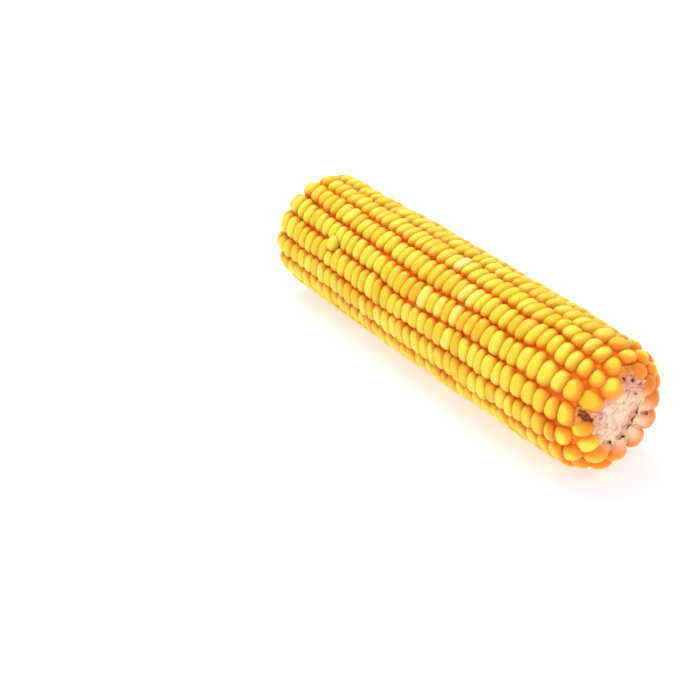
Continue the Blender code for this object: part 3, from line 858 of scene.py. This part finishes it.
def blank(name):
    """A new material, its tree and its shader."""
    material = bpy.data.materials.new(name)
    material.use_nodes = True
    return material, material.node_tree, material.node_tree.nodes["Principled BSDF"]


def value_of(tree, name):
    """The number kept on the points under a name."""
    return add(tree, "ShaderNodeAttribute", attribute_name=name).outputs["Fac"]


# %% [markdown]
# A dry kernel is a hard, waxy skin over a glassy, slightly see-through body. Its crown looks
# lemon yellow; light that enters the flanks comes out orange, and the deepest folds are almost
# red. We colour by the numbers kept on the points, with painted shade added: the colour darkens
# to olive gold in the creases and to deep orange in the furrows. A little light also scatters
# under the skin.

# %% Kernel finish
def kernel_finish():
    """Crown to flank colours, with one tone per kernel and fine mottling, and painted shade: olive gold
    in the creases, deeper orange in the furrows.
    """
    material, tree, shader = blank("dry_kernel")
    fade, amber, pale, loose, tone = (
        value_of(tree, name) for name in ("fade", "amber", "pale", "loose", "tone"))
    place = add(tree, "ShaderNodeTexCoord").outputs["Object"]
    speck = add(tree, "ShaderNodeTexNoise", {"Vector": place, "Scale": 1100.0, "Detail": 3.0})
    cloud = add(tree, "ShaderNodeTexNoise", {"Vector": place, "Scale": 300.0, "Detail": 2.0})
    wobble = maths(tree, "MULTIPLY_ADD", cloud.outputs["Fac"], 0.30, -0.15)
    outward = maths(tree, "MULTIPLY", maths(tree, "ADD", fade, wobble), 1 / 1.5)
    crown = ramp(tree, remapped(tree, tone, -1.0, 1.4), (
        (0.00, "#F5EEA4"), (0.38, "#F2E34A"), (0.62, "#F2DD38"), (0.85, "#F2D024"),
        (1.00, "#F1C010")))
    # Towards the furrows: the flanks' own orange, darkened further as painted shade.
    furrow = ramp(tree, outward, (
        (0.42, "#FFFFFF"), (0.55, "#FCEAB4"), (0.63, "#F7C868"), (0.72, "#F49E2C"),
        (0.92, "#EE7E06")))
    # Towards the creases between kernels in a row: olive gold, which is painted shade.
    crease = ramp(tree, outward, (
        (0.45, "#FFFFFF"), (0.59, "#F8ECB8"), (0.70, "#EAD27C"), (0.85, "#CA9C2C")))
    flank = ramp(tree, outward, (
        (0.38, "#FFFFFF"), (0.50, "#FFE4A0"), (0.60, "#FFCC88"), (0.80, "#FFB476"),
        (1.00, "#FEA264")))
    tight = mixed(tree, amber, crease, furrow)
    skin = mixed(tree, 1.0, crown, mixed(tree, loose, tight, flank), "MULTIPLY")
    footed = mixed(tree, pale, skin, "#F8D2AA")
    speckle = maths(tree, "MULTIPLY", remapped(tree, speck.outputs["Fac"], 0.5, 0.75), 0.10)
    mottled = mixed(tree, speckle, footed, "#F9E880")
    tree.links.new(mottled, shader.inputs["Base Color"])
    shader.inputs["Roughness"].default_value = 0.42
    shader.inputs["IOR"].default_value = 1.45
    shader.inputs["Subsurface Weight"].default_value = 0.5
    shader.inputs["Subsurface Radius"].default_value = (1.0, 0.45, 0.10)
    shader.inputs["Subsurface Scale"].default_value = 1.6 * MM
    bump = add(tree, "ShaderNodeBump", {"Height": cloud.outputs["Fac"], "Strength": 0.25,
                                        "Distance": 0.3 * MM})
    tree.links.new(bump.outputs["Normal"], shader.inputs["Normal"])
    return material


kernel_skin = kernel_finish()
for piece in (row_kernels, butt_kernels, tip_kernels):
    piece.data.materials.append(kernel_skin)


def bed_finish():
    """Clouded orange in the furrows, brown and woody where kernels are missing."""
    material, tree, shader = blank("furrow_depth")
    place = add(tree, "ShaderNodeTexCoord").outputs["Object"]
    cloud = add(tree, "ShaderNodeTexNoise", {"Vector": place, "Scale": 450.0, "Detail": 4.0})
    flesh = ramp(tree, cloud.outputs["Fac"], (
        (0.32, "#CC5402"), (0.50, "#F27804"), (0.70, "#FA9C1E")))
    colour = mixed(tree, value_of(tree, "woody"), flesh, "#A0481E")
    tree.links.new(colour, shader.inputs["Base Color"])
    shader.inputs["Roughness"].default_value = 0.8
    return material


bed.data.materials.append(bed_finish())


# %% [markdown]
# Torn pith is a foam of dry cells: matt and cream, pinkish grey towards the rim in three places.

# %% Pith finish
def pith_finish():
    """Cream, with pinkish and brownish clouds."""
    material, tree, shader = blank("torn_pith")
    place = add(tree, "ShaderNodeTexCoord").outputs["Object"]
    cloud = add(tree, "ShaderNodeTexNoise", {"Vector": place, "Scale": 330.0, "Detail": 4.0})
    colour = ramp(tree, cloud.outputs["Fac"], (
        (0.28, "#E8B48A"), (0.42, "#F0CAA4"), (0.56, "#F5D7B8"), (0.75, "#F7E2CC")))
    tinted = ramp(tree, cloud.outputs["Fac"], ((0.30, "#C48A78"), (0.55, "#E4B4A0"), (0.75, "#F4D8C8")))
    colour = mixed(tree, value_of(tree, "rim_tint"), colour, tinted)
    tree.links.new(colour, shader.inputs["Base Color"])
    shader.inputs["Roughness"].default_value = 0.9
    return material


def fibre_finish():
    """From cream to straw, one tone per strand."""
    material, tree, shader = blank("torn_fibre")
    colour = ramp(tree, value_of(tree, "tone"), (
        (0.0, "#F7E2CE"), (0.7, "#F5D4B4"), (0.92, "#ECBA92"), (1.0, "#CC8A66")))
    tree.links.new(colour, shader.inputs["Base Color"])
    shader.inputs["Roughness"].default_value = 0.8
    return material


def chaff_finish():
    """Mauve to dark brown, darkest at the lip."""
    material, tree, shader = blank("chaff")
    body = ramp(tree, value_of(tree, "tone"), (
        (0.0, "#F6D8BC"), (0.3, "#E8B29C"), (0.6, "#C47E66"), (1.0, "#7A3420")))
    dark = remapped(tree, value_of(tree, "lip"), 0.78, 1.0)
    colour = mixed(tree, dark, body, "#A05C3A")
    tree.links.new(colour, shader.inputs["Base Color"])
    shader.inputs["Roughness"].default_value = 0.6
    return material


def mat_finish():
    """Pinkish mauve by the cob, orange further out, and dark brown as painted shade in the pits and low
    folds.
    """
    material, tree, shader = blank("crumpled_chaff")
    place = add(tree, "ShaderNodeTexCoord").outputs["Object"]
    cloud = add(tree, "ShaderNodeTexNoise", {"Vector": place, "Scale": 700.0, "Detail": 3.0})
    inner = ramp(tree, cloud.outputs["Fac"], (
        (0.30, "#C87E66"), (0.50, "#E4AC96"), (0.70, "#F6D4C0")))
    outer = ramp(tree, cloud.outputs["Fac"], (
        (0.30, "#D8742C"), (0.50, "#EC9440"), (0.70, "#F6AE5C")))
    body = mixed(tree, value_of(tree, "outer"), inner, outer)
    colour = mixed(tree, remapped(tree, value_of(tree, "dark"), 0.15, 0.75), body, "#7C3212")
    tree.links.new(colour, shader.inputs["Base Color"])
    shader.inputs["Roughness"].default_value = 0.75
    return material


mats.data.materials.append(mat_finish())
pith = pith_finish()
face.data.materials.append(pith)
nub.data.materials.append(pith)
fibres.data.materials.append(fibre_finish())
chaff_skin = chaff_finish()
chaff.data.materials.append(chaff_skin)
hugging.data.materials.append(chaff_skin)

# %% [markdown]
# ## Floor, light and camera
#
# The ear lies on a plain white floor in a soft studio light: a bright sky from all sides, and a
# wide lamp over it. We look down on the butt end from the front right.

# %% Floor and light
FLOOR_SIZE = 6.0


def floor_finish():
    """White acrylic, lit softly from below, which keeps the shadow pale."""
    material, tree, shader = blank("white_floor")
    shader.inputs["Base Color"].default_value = linear("#DAD4E0")
    shader.inputs["Roughness"].default_value = 0.9
    shader.inputs["Emission Color"].default_value = linear("#FFF8FC")
    shader.inputs["Emission Strength"].default_value = 0.5
    return material


half = FLOOR_SIZE / 2
floor = mesh_piece("floor", np.array([[-half, -half, 0], [half, -half, 0], [half, half, 0],
                                      [-half, half, 0]]) - [0, 0, 0.05 * MM],
                   [np.array([[0, 1, 2, 3]])], {})
floor.data.materials.append(floor_finish())

world = bpy.data.worlds.new("studio")
world.use_nodes = True
world.node_tree.nodes["Background"].inputs["Color"].default_value = linear("#FFFFFF")
world.node_tree.nodes["Background"].inputs["Strength"].default_value = 0.79
bpy.context.scene.world = world


def lamp(name, place, aim, size, watts, colour):
    """A square area lamp at a place, aimed at a point."""
    data = bpy.data.lights.new(name, "AREA")
    data.shape = "SQUARE"
    data.size = size
    data.energy = watts
    data.color = linear(colour)[:3]
    light = bpy.data.objects.new(name, data)
    light.location = place
    away = np.array(aim) - np.array(place)
    light.rotation_euler = Euler((math.atan2(math.hypot(away[0], away[1]), -away[2]), 0.0,
                                  math.atan2(away[1], away[0]) - math.pi / 2))
    bpy.context.scene.collection.objects.link(light)
    return light


lamp("key", (-0.55, 0.05, 0.95), (0.0, 0.0, 0.02), 0.8, 6.3, "#FFFFFF")
lamp("fill", (0.70, -0.30, 0.35), (0.08, 0.0, 0.02), 0.5, 1.0, "#FFF4E4")

# %% Camera
camera_data = bpy.data.cameras.new("camera")
camera_data.lens = 111.4
camera_data.sensor_width = 36.0
camera = bpy.data.objects.new("camera", camera_data)
camera.location = (0.5018, -0.4285, 0.4260)
camera.rotation_euler = Euler((math.radians(57.567), 0.0, math.radians(52.907)))
bpy.context.scene.collection.objects.link(camera)
bpy.context.scene.camera = camera
bpy.context.scene.view_settings.view_transform = "Standard"
